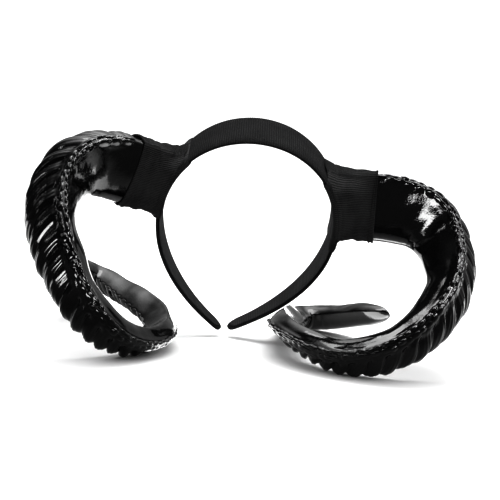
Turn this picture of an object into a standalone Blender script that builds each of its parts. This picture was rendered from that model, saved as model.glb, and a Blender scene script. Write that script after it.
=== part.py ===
"""Ram horns headband, modelled in metres with +Z up.

Every piece is shaped in the wearing frame: X across the head, Y away from the viewer and Z up
to the crown, with the hoop in the XZ plane.  The finished pieces are then turned together into
the pose in which the headband rests by itself, standing on its two horns.
"""

import math
from collections import namedtuple

import bmesh
import bpy
import numpy as np
from mathutils import Matrix, Vector

# Gaps and walls
GAP = 0.0003
CLOTH_WALL = 0.00105

# Hoop: its length from the crown to each end, and the height of the crown. The left limb is bent
# in a little more and shows more of its length.
HOOP_LEFT_LENGTH = 0.2245
HOOP_RIGHT_LENGTH = 0.218
HOOP_TOP = 0.1042
HOOP_STEPS = 40
BAND_INSIDE = 0.0006
BAND_OUTSIDE = 0.0016
BAND_EDGE_DROP = 0.0004
BAND_CROWN_WIDTH = 0.0459
BAND_END_WIDTH = 0.0125
BAND_TAPER_LENGTH = 0.218
BAND_TAPER_POWER = 0.65
BAND_END_ROUND = 0.006

# How the hoop curves: the run from the crown, and the radius there on each side
HoopRow = namedtuple("HoopRow", "run left right")
HOOP_BEND = (
    HoopRow(0.0000, 0.0622, 0.0622),
    HoopRow(0.0436, 0.0606, 0.0606),
    HoopRow(0.0872, 0.0752, 0.0752),
    HoopRow(0.1308, 0.0936, 0.0936),
    HoopRow(0.1744, 0.1350, 0.1500),
    HoopRow(0.2245, 0.1950, 0.2567),
)

# Lining strip on the hoop's inner face
LINING_THICKNESS = 0.0008
LINING_MARGIN = 0.0005
LINING_END_CUT = 0.003
LINING_LOW = -BAND_INSIDE - GAP - LINING_THICKNESS

# Cloth wrap: where its collar starts and ends along the hoop, the middle and half height of the
# sleeve's foot on the hoop, how far that foot sits back, and how far the sleeve reaches over the
# horn above and below
WrapRow = namedtuple("WrapRow", "start end foot half_height back reach_top reach_bottom")
WRAPS = {
    "left": WrapRow(0.058, 0.110, 0.0865, 0.0260, 0.000, 0.012, 0.006),
    "right": WrapRow(0.050, 0.107, 0.0760, 0.0280, 0.003, 0.001, 0.006),
}
COLLAR_STEPS = 10
FOOT_HALF_DEPTH = 0.0165
FOOT_SQUARENESS = 3.0
SLEEVE_RINGS = 6
SLEEVE_WAIST = 0.0012
SLEEVE_REACH = 0.025
STUB_START = 0.20
STUB_RINGS = 4
SOCKET_REACH = 0.030

# Horn: a row for each station along its middle line, root first, in metres and degrees.
# width runs towards the coil's outside, depth towards the viewer, and turn is how far the
# section has twisted about the line.
HornRow = namedtuple("HornRow", "across back up width depth turn")
HORN_STATIONS = (
    HornRow(0.086, 0.011, 0.062, 0.0590, 0.0465, 0),
    HornRow(0.123, 0.003, 0.064, 0.0545, 0.0445, 0),
    HornRow(0.142, -0.021, 0.053, 0.0440, 0.0420, -2),
    HornRow(0.140, -0.060, 0.041, 0.0320, 0.0385, -8),
    HornRow(0.115, -0.093, 0.019, 0.0215, 0.0350, -16),
    HornRow(0.074, -0.094, -0.003, 0.0160, 0.0310, -27),
    HornRow(0.042, -0.051, -0.018, 0.0160, 0.0270, -40),
    HornRow(0.0514, 0.010, -0.0470, 0.0200, 0.0230, -52),
    HornRow(0.066, 0.043, -0.065, 0.0245, 0.0190, -62),
    HornRow(0.092, 0.040, -0.055, 0.0250, 0.0160, -67),
    HornRow(0.122, 0.002, -0.018, 0.0200, 0.0135, -67),
)
HORN_SAMPLES = 600
TIP_ROUND_SHARE = 0.06

# Horn section: its three edges as shares of width and depth, and its side counts
KNOB_EDGE = (0.49, 0.23)
FRONT_EDGE = (-0.36, 0.35)
BACK_EDGE = (-0.42, -0.45)
FRONT_CROWN = 0.05
INNER_CROWN = 0.04
RIB_SIDE_BULGE = 0.31
FRONT_SIDES = 4
INNER_SIDES = 3
RIB_SIDES = 8

# Ribs
RIB_PITCH_ROOT = 0.0125
RIB_PITCH_TIP = 0.0080
RIB_DEPTH = 0.0021
RIB_SLANT_SHARE = 0.28
RIB_FADE_IN = 0.030
RIB_LAST_SHARE = 0.92

# The left horn is the right one mirrored, then turned and moved a little in its soft sleeve
LEFT_PIVOT = Vector((0.0858, -0.0022, 0.0629))
LEFT_TURN = Vector((math.radians(6.1), math.radians(-11.3), math.radians(-14.3)))
LEFT_SHIFT = Vector((-0.0052, -0.0120, -0.0093))

# Resting pose: how far the worn shape leans and rolls when its horns stand on a surface, and the
# shift that puts the middle of its footprint at the origin
REST_LEAN = math.radians(22.6)
REST_ROLL = math.radians(8.4)
REST_SHIFT = Vector((-0.01145, 0.01739, 0.06171))


def clear_scene():
    """Remove every object that the file opened with."""
    for thing in list(bpy.data.objects):
        bpy.data.objects.remove(thing, do_unlink=True)


def make_material(name, colour, roughness, metallic=0.0):
    """Return a Principled material of one plain colour."""
    material = bpy.data.materials.new(name)
    material.use_nodes = True
    shader = material.node_tree.nodes["Principled BSDF"]
    shader.inputs["Base Color"].default_value = (*colour, 1.0)
    shader.inputs["Roughness"].default_value = roughness
    shader.inputs["Metallic"].default_value = metallic
    return material


def smooth_step(value):
    """Ease a value from 0 to 1."""
    value = np.clip(value, 0.0, 1.0)
    return value * value * (3.0 - 2.0 * value)


# Hoop line
def hoop_line(radii):
    """Return the middle line of one side from the crown down, as rows of run, x, z and angle."""
    run = np.linspace(0.0, HOOP_BEND[-1].run, 8 * HOOP_STEPS + 1)
    bend = np.interp(run, [row.run for row in HOOP_BEND], [1.0 / radius for radius in radii])
    step = run[1] - run[0]
    angle = np.concatenate([[0.0], np.cumsum((bend[1:] + bend[:-1]) * 0.5 * step)])
    across, down = np.cos(angle), -np.sin(angle)
    x = np.concatenate([[0.0], np.cumsum((across[1:] + across[:-1]) * 0.5 * step)])
    z = HOOP_TOP + np.concatenate([[0.0], np.cumsum((down[1:] + down[:-1]) * 0.5 * step)])
    return np.stack([run, x, z, angle], axis=1)


HOOP_LEFT = hoop_line([row.left for row in HOOP_BEND])
HOOP_RIGHT = hoop_line([row.right for row in HOOP_BEND])


def limb_length(run):
    """Return the length of the side that a run along the hoop is on."""
    return HOOP_LEFT_LENGTH if run < 0.0 else HOOP_RIGHT_LENGTH


def hoop_point(run, y=0.0, lift=0.0):
    """Return the point at a run along the hoop, y across it and lift above its middle surface."""
    side, line = (-1.0, HOOP_LEFT) if run < 0.0 else (1.0, HOOP_RIGHT)
    run = min(abs(run), limb_length(run))
    x = np.interp(run, line[:, 0], line[:, 1])
    z = np.interp(run, line[:, 0], line[:, 2])
    angle = np.interp(run, line[:, 0], line[:, 3])
    return np.array([side * (x + lift * math.sin(angle)), y, z + lift * math.cos(angle)])


def band_width(run):
    """Return the band's width at a run along the hoop, narrowing to its ends."""
    share = min(abs(run) / BAND_TAPER_LENGTH, 1.0)
    taper = (0.5 + 0.5 * math.cos(math.pi * share)) ** BAND_TAPER_POWER
    return BAND_END_WIDTH + (BAND_CROWN_WIDTH - BAND_END_WIDTH) * taper


def end_scale(run, cut=0.0):
    """Return how much of its width a strip, cut short at its ends, keeps near a rounded end."""
    past = (abs(run) - (limb_length(run) - cut - BAND_END_ROUND)) / BAND_END_ROUND
    return math.sqrt(max(0.04, 1.0 - max(0.0, past) ** 2))


def strip_rings(runs, width_at, low, high, edge_drop, shoulder=0.38):
    """Return rings of a flat strip along the hoop, from low to high about its middle surface."""
    rings = []
    for run in runs:
        width = width_at(run)
        outline = (
            (-0.50, low + edge_drop), (-0.50, high - edge_drop), (-shoulder, high), (0.0, high), (shoulder, high),
            (0.50, high - edge_drop), (0.50, low + edge_drop), (shoulder, low), (0.0, low), (-shoulder, low),
        )
        rings.append([hoop_point(run, share * width, lift) for share, lift in outline])
    return rings


# Horn line and section
def natural_spline(values, count):
    """Return count points on the natural cubic spline through evenly spaced values."""
    values = np.asarray(values, dtype=float)
    last = len(values) - 1
    system = np.eye(last + 1)
    right = np.zeros_like(values)
    for row in range(1, last):
        system[row, row - 1:row + 2] = (1.0, 4.0, 1.0)
        right[row] = 6.0 * (values[row - 1] - 2.0 * values[row] + values[row + 1])
    bend = np.linalg.solve(system, right)
    place = np.linspace(0.0, last, count)
    cell = np.minimum(place.astype(int), last - 1)
    after = (place - cell)[:, None]
    before = 1.0 - after
    return (
        before * values[cell] + after * values[cell + 1]
        + ((before ** 3 - before) * bend[cell] + (after ** 3 - after) * bend[cell + 1]) / 6.0
    )


def carried_normals(points, tangents, start):
    """Carry a normal along a line without twisting it."""
    normals = np.zeros_like(points)
    first = start - (start @ tangents[0]) * tangents[0]
    normals[0] = first / np.linalg.norm(first)
    for index in range(len(points) - 1):
        step = points[index + 1] - points[index]
        normal = normals[index] - 2.0 * (step @ normals[index]) / (step @ step) * step
        tangent = tangents[index] - 2.0 * (step @ tangents[index]) / (step @ step) * step
        turn = tangents[index + 1] - tangent
        size = turn @ turn
        if size > 1e-12:
            normal = normal - 2.0 * (turn @ normal) / size * turn
        normals[index + 1] = normal
    return normals


def horn_line():
    """Return the horn's line as a dict of arrays: run, point, tangent, out, front, width and depth."""
    rows = natural_spline(HORN_STATIONS, HORN_SAMPLES)
    points = rows[:, :3]
    tangents = np.gradient(points, axis=0)
    tangents /= np.linalg.norm(tangents, axis=1)[:, None]
    normals = carried_normals(points, tangents, np.array([0.0, 0.0, 1.0]))
    fronts = np.cross(tangents, normals)
    turn = np.radians(rows[:, 5])[:, None]
    steps = np.linalg.norm(np.diff(points, axis=0), axis=1)
    return {
        "run": np.concatenate([[0.0], np.cumsum(steps)]),
        "point": points,
        "tangent": tangents,
        "out": normals * np.cos(turn) + fronts * np.sin(turn),
        "front": fronts * np.cos(turn) - normals * np.sin(turn),
        "width": rows[:, 3],
        "depth": rows[:, 4],
    }


LINE = horn_line()
HORN_LENGTH = LINE["run"][-1]


def line_at(name, run):
    """Return one of the horn line's arrays at a run along it."""
    array = LINE[name]
    if array.ndim == 1:
        return float(np.interp(run, LINE["run"], array))
    return np.array([np.interp(run, LINE["run"], array[:, axis]) for axis in range(3)])


def section_outline():
    """Return the horn section's points and how much of the ribs and of their slant each takes."""
    knob, front, back = (np.array(edge) for edge in (KNOB_EDGE, FRONT_EDGE, BACK_EDGE))
    points, ribbed, slanted = [], [], []
    for step in range(FRONT_SIDES):
        share = step / FRONT_SIDES
        crown = np.array([0.0, FRONT_CROWN]) * 4.0 * share * (1.0 - share)
        points.append(knob + (front - knob) * share + crown)
        ribbed.append(0.45 if step == 0 else 0.0)
        slanted.append(0.0)
    for step in range(INNER_SIDES):
        share = step / INNER_SIDES
        crown = np.array([-INNER_CROWN, 0.0]) * 4.0 * share * (1.0 - share)
        points.append(front + (back - front) * share + crown)
        ribbed.append(0.0)
        slanted.append(share)
    chord = knob - back
    outward = np.array([chord[1], -chord[0]]) / np.linalg.norm(chord)
    for step in range(RIB_SIDES):
        share = step / RIB_SIDES
        points.append(back + chord * share + outward * RIB_SIDE_BULGE * 4.0 * share * (1.0 - share))
        ribbed.append(0.35 if step == 0 else 1.0)
        slanted.append(1.0 - share)
    return np.array(points), np.array(ribbed), np.array(slanted)


SECTION, RIBBED, SLANTED = section_outline()


def rib_runs():
    """Return the runs of the horn's rings, each a groove or a crown in turn, with the groove depth."""
    rows = []
    run = 0.5 * RIB_PITCH_ROOT
    last = RIB_LAST_SHARE * HORN_LENGTH
    groove = True
    while run < last:
        pitch = RIB_PITCH_ROOT + (RIB_PITCH_TIP - RIB_PITCH_ROOT) * run / HORN_LENGTH
        fade = float(smooth_step((last - run) / (3.0 * RIB_FADE_IN)))
        rows.append((run, RIB_DEPTH * fade if groove else 0.0))
        run += 0.5 * pitch
        groove = not groove
    return rows


def horn_surface(index, run, grow):
    """Return a point of the horn's surface at a run, moved outward by grow."""
    past = max(0.0, run / HORN_LENGTH - 1.0 + TIP_ROUND_SHARE) / TIP_ROUND_SHARE
    blunt = math.sqrt(max(0.0, 1.0 - past ** 2))
    out_share, front_share = SECTION[index]
    offset = (out_share * line_at("width", run) * line_at("out", run)
              + front_share * line_at("depth", run) * line_at("front", run)) * blunt
    size = np.linalg.norm(offset)
    return line_at("point", run) + offset * (size + grow) / max(size, 1e-9)


def horn_ring(run, groove, grow=0.0):
    """Return one ring of the horn, its ribbed side pressed in by groove."""
    slant_in = float(smooth_step(run / (2.0 * RIB_FADE_IN)))
    slant_out = float(smooth_step((HORN_LENGTH - run) / (3.0 * RIB_FADE_IN)))
    reach = RIB_SLANT_SHARE * (line_at("width", run) + line_at("depth", run)) * slant_in * slant_out
    ring = []
    for index, (ribbed, slanted) in enumerate(zip(RIBBED, SLANTED)):
        place = min(run + slanted * reach, HORN_LENGTH)
        ring.append(horn_surface(index, place, grow - groove * ribbed))
    return ring


# Sleeve between the hoop and the horn's root
def foot_point(wrap, share, index):
    """Return a point of the sleeve's foot, on the hoop's middle surface."""
    around = math.atan2(SECTION[index][1], SECTION[index][0])
    power = FOOT_SQUARENESS
    reach = share * (abs(math.cos(around)) ** power + abs(math.sin(around)) ** power) ** (-1.0 / power)
    run = wrap.foot - reach * wrap.half_height * math.cos(around)
    return hoop_point(run, wrap.back - reach * FOOT_HALF_DEPTH * math.sin(around))


def root_point(share, index):
    """Return a point of the horn's root section with the sleeve's cloth on it."""
    centre = line_at("point", 0.0)
    return centre + (horn_surface(index, 0.0, CLOTH_WALL + GAP) - centre) * share


def sleeve_ring(wrap, place, along, inset=0.0, share=1.0):
    """Return a ring of the sleeve, along from 0 at the hoop to 1 at the horn's root."""
    feet = np.array([foot_point(wrap, share, index) for index in range(len(SECTION))])
    roots = np.array([place(root_point(share, index)) for index in range(len(SECTION))])
    ring = feet + (roots - feet) * along
    middle = ring.mean(axis=0)
    radial = ring - middle
    size = np.linalg.norm(radial, axis=1)[:, None]
    waist = SLEEVE_WAIST * math.sin(math.pi * along)
    return list(middle + radial * (1.0 - share * (inset + waist) / size))


def sleeve_end(wrap, place, share):
    """Return a ring of the part of the sleeve that reaches over the horn."""
    ring = []
    for index in range(len(SECTION)):
        upper = 0.5 + SECTION[index][0]
        reach = wrap.reach_bottom + (wrap.reach_top - wrap.reach_bottom) * upper
        ring.append(place(horn_surface(index, share * reach, CLOTH_WALL + GAP)))
    return ring


# Meshes
def ring_mesh(name, rings, start_caps=(), end_caps=()):
    """Return a mesh of joined rings, closed by inner rings or single points at its ends."""
    mesh = bmesh.new()
    rows = [[mesh.verts.new(point) for point in ring] for ring in rings]
    for first, second in zip(rows[:-1], rows[1:]):
        join_rings(mesh, first, second)
    close_end(mesh, rows[0], start_caps, True)
    close_end(mesh, rows[-1], end_caps, False)
    data = bpy.data.meshes.new(name)
    bmesh.ops.recalc_face_normals(mesh, faces=mesh.faces)
    if mesh.calc_volume(signed=True) < 0.0:
        bmesh.ops.reverse_faces(mesh, faces=mesh.faces)
    mesh.to_mesh(data)
    mesh.free()
    return data


def join_rings(mesh, first, second):
    """Join two rings of equal length with pairs of triangles."""
    count = len(first)
    for index in range(count):
        after = (index + 1) % count
        mesh.faces.new((first[index], first[after], second[after]))
        mesh.faces.new((first[index], second[after], second[index]))


def close_end(mesh, ring, caps, backwards):
    """Close a ring through any inner rings to a single point or a flat face."""
    for cap in caps:
        if len(cap) == 1:
            point = mesh.verts.new(cap[0])
            for index in range(len(ring)):
                mesh.faces.new((ring[index], ring[(index + 1) % len(ring)], point))
            return
        inner = [mesh.verts.new(point) for point in cap]
        join_rings(mesh, ring, inner)
        ring = inner
    mesh.faces.new(ring[::-1] if backwards else ring)


def rest_matrix():
    """Return the turn and shift that stand the worn shape on its horns."""
    turn = Matrix.Rotation(REST_LEAN, 4, "X") @ Matrix.Rotation(REST_ROLL, 4, "Y")
    return Matrix.Translation(REST_SHIFT) @ turn


def add_object(name, data, material, mirror=False):
    """Add a mesh as an object in the resting pose, mirrored across the head if asked."""
    if mirror:
        data.transform(Matrix.Scale(-1.0, 4, Vector((1.0, 0.0, 0.0))))
        data.flip_normals()
    data.transform(rest_matrix())
    for polygon in data.polygons:
        polygon.use_smooth = True
    data.set_sharp_from_angle(angle=math.radians(40.0))
    data.materials.append(material)
    thing = bpy.data.objects.new(name, data)
    bpy.context.scene.collection.objects.link(thing)
    return thing


def hide_cutter(thing):
    """Mark an object as a cutter that is not part of the model."""
    thing.hide_render = True
    thing.display_type = "WIRE"


def add_boolean(thing, other, operation):
    """Give an object a Boolean modifier with another object."""
    modifier = thing.modifiers.new(operation.title() + " " + other.name, "BOOLEAN")
    modifier.operation = operation
    modifier.object = other


# Pieces
def build_headband(material):
    """Model the cloth-covered hoop."""
    runs = np.linspace(-HOOP_LEFT_LENGTH, HOOP_RIGHT_LENGTH, 2 * HOOP_STEPS + 1)

    def width_at(run):
        """Return the band's width at a run, rounded off at its ends."""
        return band_width(run) * end_scale(run)

    rings = strip_rings(runs, width_at, -BAND_INSIDE, BAND_OUTSIDE, BAND_EDGE_DROP)
    return add_object("headband", ring_mesh("headband", rings), material)


def build_lining(material):
    """Model the thin lining strip on the hoop's inner face."""
    runs = np.linspace(LINING_END_CUT - HOOP_LEFT_LENGTH, HOOP_RIGHT_LENGTH - LINING_END_CUT, 2 * HOOP_STEPS + 1)

    def width_at(run):
        """Return the lining's width at a run, rounded off at its ends."""
        return (band_width(run) - 2.0 * LINING_MARGIN) * end_scale(run, LINING_END_CUT)

    rings = strip_rings(runs, width_at, LINING_LOW, LINING_LOW + LINING_THICKNESS, 0.0)
    return add_object("band_lining", ring_mesh("band_lining", rings), material)


def left_place(point):
    """Turn and move a point of the mirrored left horn in its sleeve."""
    turn = Matrix.Rotation(LEFT_TURN.length, 3, LEFT_TURN.normalized())
    return np.array(turn @ (Vector(point) - LEFT_PIVOT) + LEFT_PIVOT + LEFT_SHIFT)


def right_place(point):
    """Leave a point of the right horn where it is."""
    return np.array(point)


def stub_rings(wrap, place, clearance):
    """Return the rings and inner cap rings of the horn's root inside its sleeve."""
    inset = CLOTH_WALL + clearance
    start = STUB_START - (GAP - clearance) / SLEEVE_REACH
    stations = [start, *np.linspace(STUB_START, 1.0, STUB_RINGS + 1)[1:-1]]
    rings = [sleeve_ring(wrap, place, along, inset) for along in stations]
    caps = [sleeve_ring(wrap, place, start, inset, share) for share in (0.66, 0.33)]
    centre = np.mean(sleeve_ring(wrap, place, start, 0.0, 0.02), axis=0)
    return rings, [*caps, [centre]]


def build_horn(name, wrap, place, mirror, material):
    """Model one horn from its root inside the sleeve to its blunt tip."""
    rings, caps = stub_rings(wrap, place, GAP)
    rings.append([place(point) for point in horn_ring(0.0, 0.0)])
    for run, groove in rib_runs():
        rings.append([place(point) for point in horn_ring(run, groove)])
    for share in (0.945, 0.965, 0.98, 0.992):
        rings.append([place(point) for point in horn_ring(share * HORN_LENGTH, 0.0)])
    tip = [[place(line_at("point", HORN_LENGTH))]]
    return add_object(name, ring_mesh(name, rings, caps, tip), material, mirror)


def build_wrap(name, wrap, place, mirror, material):
    """Model one cloth wrap: a collar round the hoop and a sleeve over the horn's root."""
    skin = GAP + CLOTH_WALL
    runs = np.linspace(wrap.start, wrap.end, COLLAR_STEPS)
    rings = strip_rings(runs, lambda run: band_width(run) + 2.0 * skin, LINING_LOW - skin,
                        BAND_OUTSIDE + skin, 0.4 * CLOTH_WALL, 0.485)
    collar = add_object(name, ring_mesh(name, rings), material, mirror)

    rings = [sleeve_ring(wrap, place, along) for along in np.linspace(0.0, 1.0, SLEEVE_RINGS)]
    rings += [sleeve_end(wrap, place, share) for share in (0.5, 1.0)]
    foot = [sleeve_ring(wrap, place, 0.0, 0.0, share) for share in (0.66, 0.33)]
    foot.append([np.mean(sleeve_ring(wrap, place, 0.0, 0.0, 0.02), axis=0)])
    sleeve = add_object(name + "_sleeve", ring_mesh(name + "_sleeve", rings, foot), material, mirror)

    runs = np.linspace(wrap.start - 0.020, wrap.end + 0.020, 2 * COLLAR_STEPS)
    rings = strip_rings(runs, lambda run: band_width(run) + 2.0 * GAP, LINING_LOW - GAP,
                        BAND_OUTSIDE + GAP, 0.0)
    slot = add_object(name + "_hoop_slot", ring_mesh(name + "_hoop_slot", rings), material, mirror)

    rings, caps = stub_rings(wrap, place, 0.0)
    rings.append([place(point) for point in horn_ring(0.0, 0.0, GAP)])
    for run, groove in rib_runs():
        if run < SOCKET_REACH:
            rings.append([place(point) for point in horn_ring(run, groove, GAP)])
    socket = add_object(name + "_horn_socket", ring_mesh(name + "_horn_socket", rings, caps), material, mirror)

    for cutter in (sleeve, slot, socket):
        hide_cutter(cutter)
    add_boolean(collar, sleeve, "UNION")
    add_boolean(collar, slot, "DIFFERENCE")
    add_boolean(collar, socket, "DIFFERENCE")
    return collar


def main():
    """Build the headband, its lining, both wraps and both horns."""
    clear_scene()
    band_cloth = make_material("band_cloth", (0.018, 0.018, 0.019), 0.85)
    lining_cloth = make_material("lining_cloth", (0.035, 0.035, 0.036), 0.75)
    wrap_cloth = make_material("wrap_cloth", (0.014, 0.014, 0.015), 0.80)
    horn_black = make_material("horn_black", (0.006, 0.006, 0.006), 0.12)
    build_headband(band_cloth)
    build_lining(lining_cloth)
    for side, place, mirror in (("right", right_place, False), ("left", left_place, True)):
        build_wrap("wrap_" + side, WRAPS[side], place, mirror, wrap_cloth)
        build_horn("horn_" + side, WRAPS[side], place, mirror, horn_black)


main()
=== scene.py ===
"""Ram horns headband: the visible surfaces, finishes, studio and camera, built round the frame.

Shapes are worked out in the wearing frame, with X across the head, Y away from the viewer and Z
up to the crown, and are then turned into the pose in which the headband stands on its horns.
"""

import logging
import math
import random
from dataclasses import dataclass, field
from enum import Enum
from typing import NamedTuple

import bpy
import numpy as np
from mathutils import Matrix, Vector


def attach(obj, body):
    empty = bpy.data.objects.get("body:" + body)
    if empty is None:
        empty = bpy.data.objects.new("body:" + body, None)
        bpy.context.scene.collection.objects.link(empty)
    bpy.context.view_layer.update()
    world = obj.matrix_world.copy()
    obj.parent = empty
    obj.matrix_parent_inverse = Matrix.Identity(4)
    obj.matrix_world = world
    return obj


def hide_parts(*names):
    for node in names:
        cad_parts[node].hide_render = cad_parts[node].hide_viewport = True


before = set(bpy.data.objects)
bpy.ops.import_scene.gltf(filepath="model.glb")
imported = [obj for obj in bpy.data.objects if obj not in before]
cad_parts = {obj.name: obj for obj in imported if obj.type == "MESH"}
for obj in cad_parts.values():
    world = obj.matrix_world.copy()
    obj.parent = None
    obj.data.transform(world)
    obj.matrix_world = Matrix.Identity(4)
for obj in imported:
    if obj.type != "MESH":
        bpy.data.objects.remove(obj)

LOG = logging.getLogger("ram_horns_headband")
BODY = "root"
IMAGE_SIDE = 500
TURN = 2.0 * math.pi
GAP = 0.0003
RIB_ROUNDNESS = 0.8
EDGE_SQUARENESS = 9.0

Triple = tuple[float, float, float]


class Side(Enum):
    """Which horn of the pair a piece belongs to."""

    LEFT = "left"
    RIGHT = "right"


# Small helpers for arrays
def eased(value: np.ndarray | float) -> np.ndarray:
    """Ease values from 0 to 1.

    Args:
        value: Numbers, of which those outside 0 to 1 are held at the ends.

    Returns:
        The eased numbers.
    """
    held = np.clip(value, 0.0, 1.0)
    return held * held * (3.0 - 2.0 * held)


def natural_spline(values: np.ndarray, count: int) -> np.ndarray:
    """Read points from the natural cubic spline through evenly spaced rows.

    Args:
        values: The rows that the spline passes through.
        count: How many evenly spaced points to read.

    Returns:
        The points, one in each row.
    """
    last = len(values) - 1
    system = np.eye(last + 1)
    right = np.zeros_like(values)
    for row in range(1, last):
        system[row, row - 1:row + 2] = (1.0, 4.0, 1.0)
        right[row] = 6.0 * (values[row - 1] - 2.0 * values[row] + values[row + 1])
    bend = np.linalg.solve(system, right)
    place = np.linspace(0.0, last, count)
    cell = np.minimum(place.astype(int), last - 1)
    after = (place - cell)[:, None]
    before = 1.0 - after
    return (
        before * values[cell] + after * values[cell + 1]
        + ((before ** 3 - before) * bend[cell] + (after ** 3 - after) * bend[cell + 1]) / 6.0
    )


def unit(vectors: np.ndarray) -> np.ndarray:
    """Return vectors scaled to a length of one."""
    return vectors / np.maximum(np.linalg.norm(vectors, axis=-1, keepdims=True), 1e-12)


def running_sum(values: np.ndarray, step: float) -> np.ndarray:
    """Add up evenly spaced values from the first one on.

    Args:
        values: The values, whose neighbours are joined by straight lines.
        step: The distance between neighbours.

    Returns:
        The area so far at each value, starting with 0.
    """
    return np.concatenate([[0.0], np.cumsum((values[1:] + values[:-1]) * 0.5 * step)])


def path_length(points: np.ndarray) -> np.ndarray:
    """Return the distance along a row of points at each of them, starting with 0."""
    return np.concatenate([[0.0], np.cumsum(np.linalg.norm(np.diff(points, axis=0), axis=1))])


def strip_outline(turn: np.ndarray, square: float) -> tuple[np.ndarray, np.ndarray]:
    """Return the outline of a flat strip with rounded edges.

    Args:
        turn: Angles round the outline.
        square: How square its edges are.

    Returns:
        The shares of half the strip's width across it, and of half its thickness through it.
    """
    cosine, sine = np.cos(turn), np.sin(turn)
    across = np.sign(cosine) * np.abs(cosine) ** (2.0 / EDGE_SQUARENESS)
    through = np.sign(sine) * np.abs(sine) ** (2.0 / square)
    return across, through


def ripple(seed: int, *phases: np.ndarray) -> np.ndarray:
    """Add up a few seeded sine waves over some coordinates.

    Args:
        seed: Picks the waves.
        phases: The coordinates, each already scaled so that 1 is one typical wave.

    Returns:
        A smooth uneven field, mostly between -1 and 1.
    """
    rng = random.Random(seed)
    total = np.zeros(np.broadcast(*phases).shape)
    for _ in range(7):
        turn = sum(phase * rng.uniform(-1.0, 1.0) for phase in phases)
        total = total + np.sin(TURN * (turn + rng.random()))
    return total / 3.0


@dataclass(frozen=True)
class RestPose:
    """How the worn shape stands on its horns: lean, roll and the shift of its footprint."""

    lean: float = math.radians(22.6)
    roll: float = math.radians(8.4)
    shift: Triple = (-0.01145, 0.01739, 0.06171)

    def matrix(self) -> Matrix:
        """Return the turn and shift from the wearing frame to the standing pose."""
        turn = Matrix.Rotation(self.lean, 4, "X") @ Matrix.Rotation(self.roll, 4, "Y")
        return Matrix.Translation(self.shift) @ turn

    def place(self, points: np.ndarray) -> np.ndarray:
        """Return points of the wearing frame as they stand.

        Args:
            points: An array whose last axis is X, Y and Z.

        Returns:
            The points in the standing pose.
        """
        matrix = np.array(self.matrix())
        return points @ matrix[:3, :3].T + matrix[:3, 3]


REST = RestPose()


# Sheets of points made into meshes
def deselect_all() -> None:
    """Leave edit mode and select nothing."""
    if bpy.context.object is not None and bpy.context.object.mode != "OBJECT":
        bpy.ops.object.mode_set(mode="OBJECT")
    bpy.ops.object.select_all(action="DESELECT")


def loft_piece(name: str, rows: np.ndarray,
               pattern: tuple[np.ndarray, np.ndarray]) -> bpy.types.Object:
    """Stretch a grid over rows of points, weld its seams and smooth it.

    Args:
        name: The piece's name.
        rows: Points as rows by columns by X, Y and Z, in the wearing frame. Rows or columns that
            meet at their ends are welded, and a row of equal points becomes a pole.
        pattern: The cloth or grain coordinate of each row and of each column, in metres.

    Returns:
        The finished piece, with its place in its mesh.
    """
    deselect_all()
    across, around = rows.shape[0] - 1, rows.shape[1] - 1
    bpy.ops.mesh.primitive_grid_add(x_subdivisions=across, y_subdivisions=around, size=2.0, calc_uvs=True)
    piece = bpy.context.object
    piece.name = name
    piece.data.name = name
    mesh = piece.data
    flat = np.empty(len(mesh.vertices) * 3)
    mesh.vertices.foreach_get("co", flat)
    share = (flat.reshape(-1, 3)[:, :2] + 1.0) * 0.5
    row = np.rint(share[:, 0] * across).astype(int)
    column = np.rint(share[:, 1] * around).astype(int)
    points = REST.place(rows[row, column])
    mesh.vertices.foreach_set("co", points.ravel())
    marks = np.empty(len(mesh.loops) * 2)
    mesh.uv_layers[0].data.foreach_get("uv", marks)
    marks = marks.reshape(-1, 2)
    marks[:, 0] = np.interp(marks[:, 0] * across, np.arange(across + 1), pattern[0])
    marks[:, 1] = np.interp(marks[:, 1] * around, np.arange(around + 1), pattern[1])
    mesh.uv_layers[0].data.foreach_set("uv", marks.ravel())
    mesh.update()
    bpy.ops.object.mode_set(mode="EDIT")
    bpy.ops.mesh.select_all(action="SELECT")
    bpy.ops.mesh.remove_doubles(threshold=1e-6)
    bpy.ops.mesh.dissolve_degenerate(threshold=1e-7)
    bpy.ops.mesh.normals_make_consistent(inside=False)
    bpy.ops.object.mode_set(mode="OBJECT")
    bpy.ops.object.shade_smooth()
    deselect_all()
    return piece


def dress(piece: bpy.types.Object, material: bpy.types.Material, slot: str, *nodes: str) -> None:
    """Give a piece its finish, attach it to the body and hide the CAD nodes that it replaces.

    Args:
        piece: The finished piece.
        material: Its material.
        slot: The record's material slot; not used.
        nodes: The CAD nodes that it replaces.
    """
    piece.data.materials.clear()
    piece.data.materials.append(material)
    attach(piece, BODY)
    if nodes:
        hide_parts(*nodes)
    piece.data.calc_loop_triangles()
    LOG.info("%s: %d triangles", piece.name, len(piece.data.loop_triangles))


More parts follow.
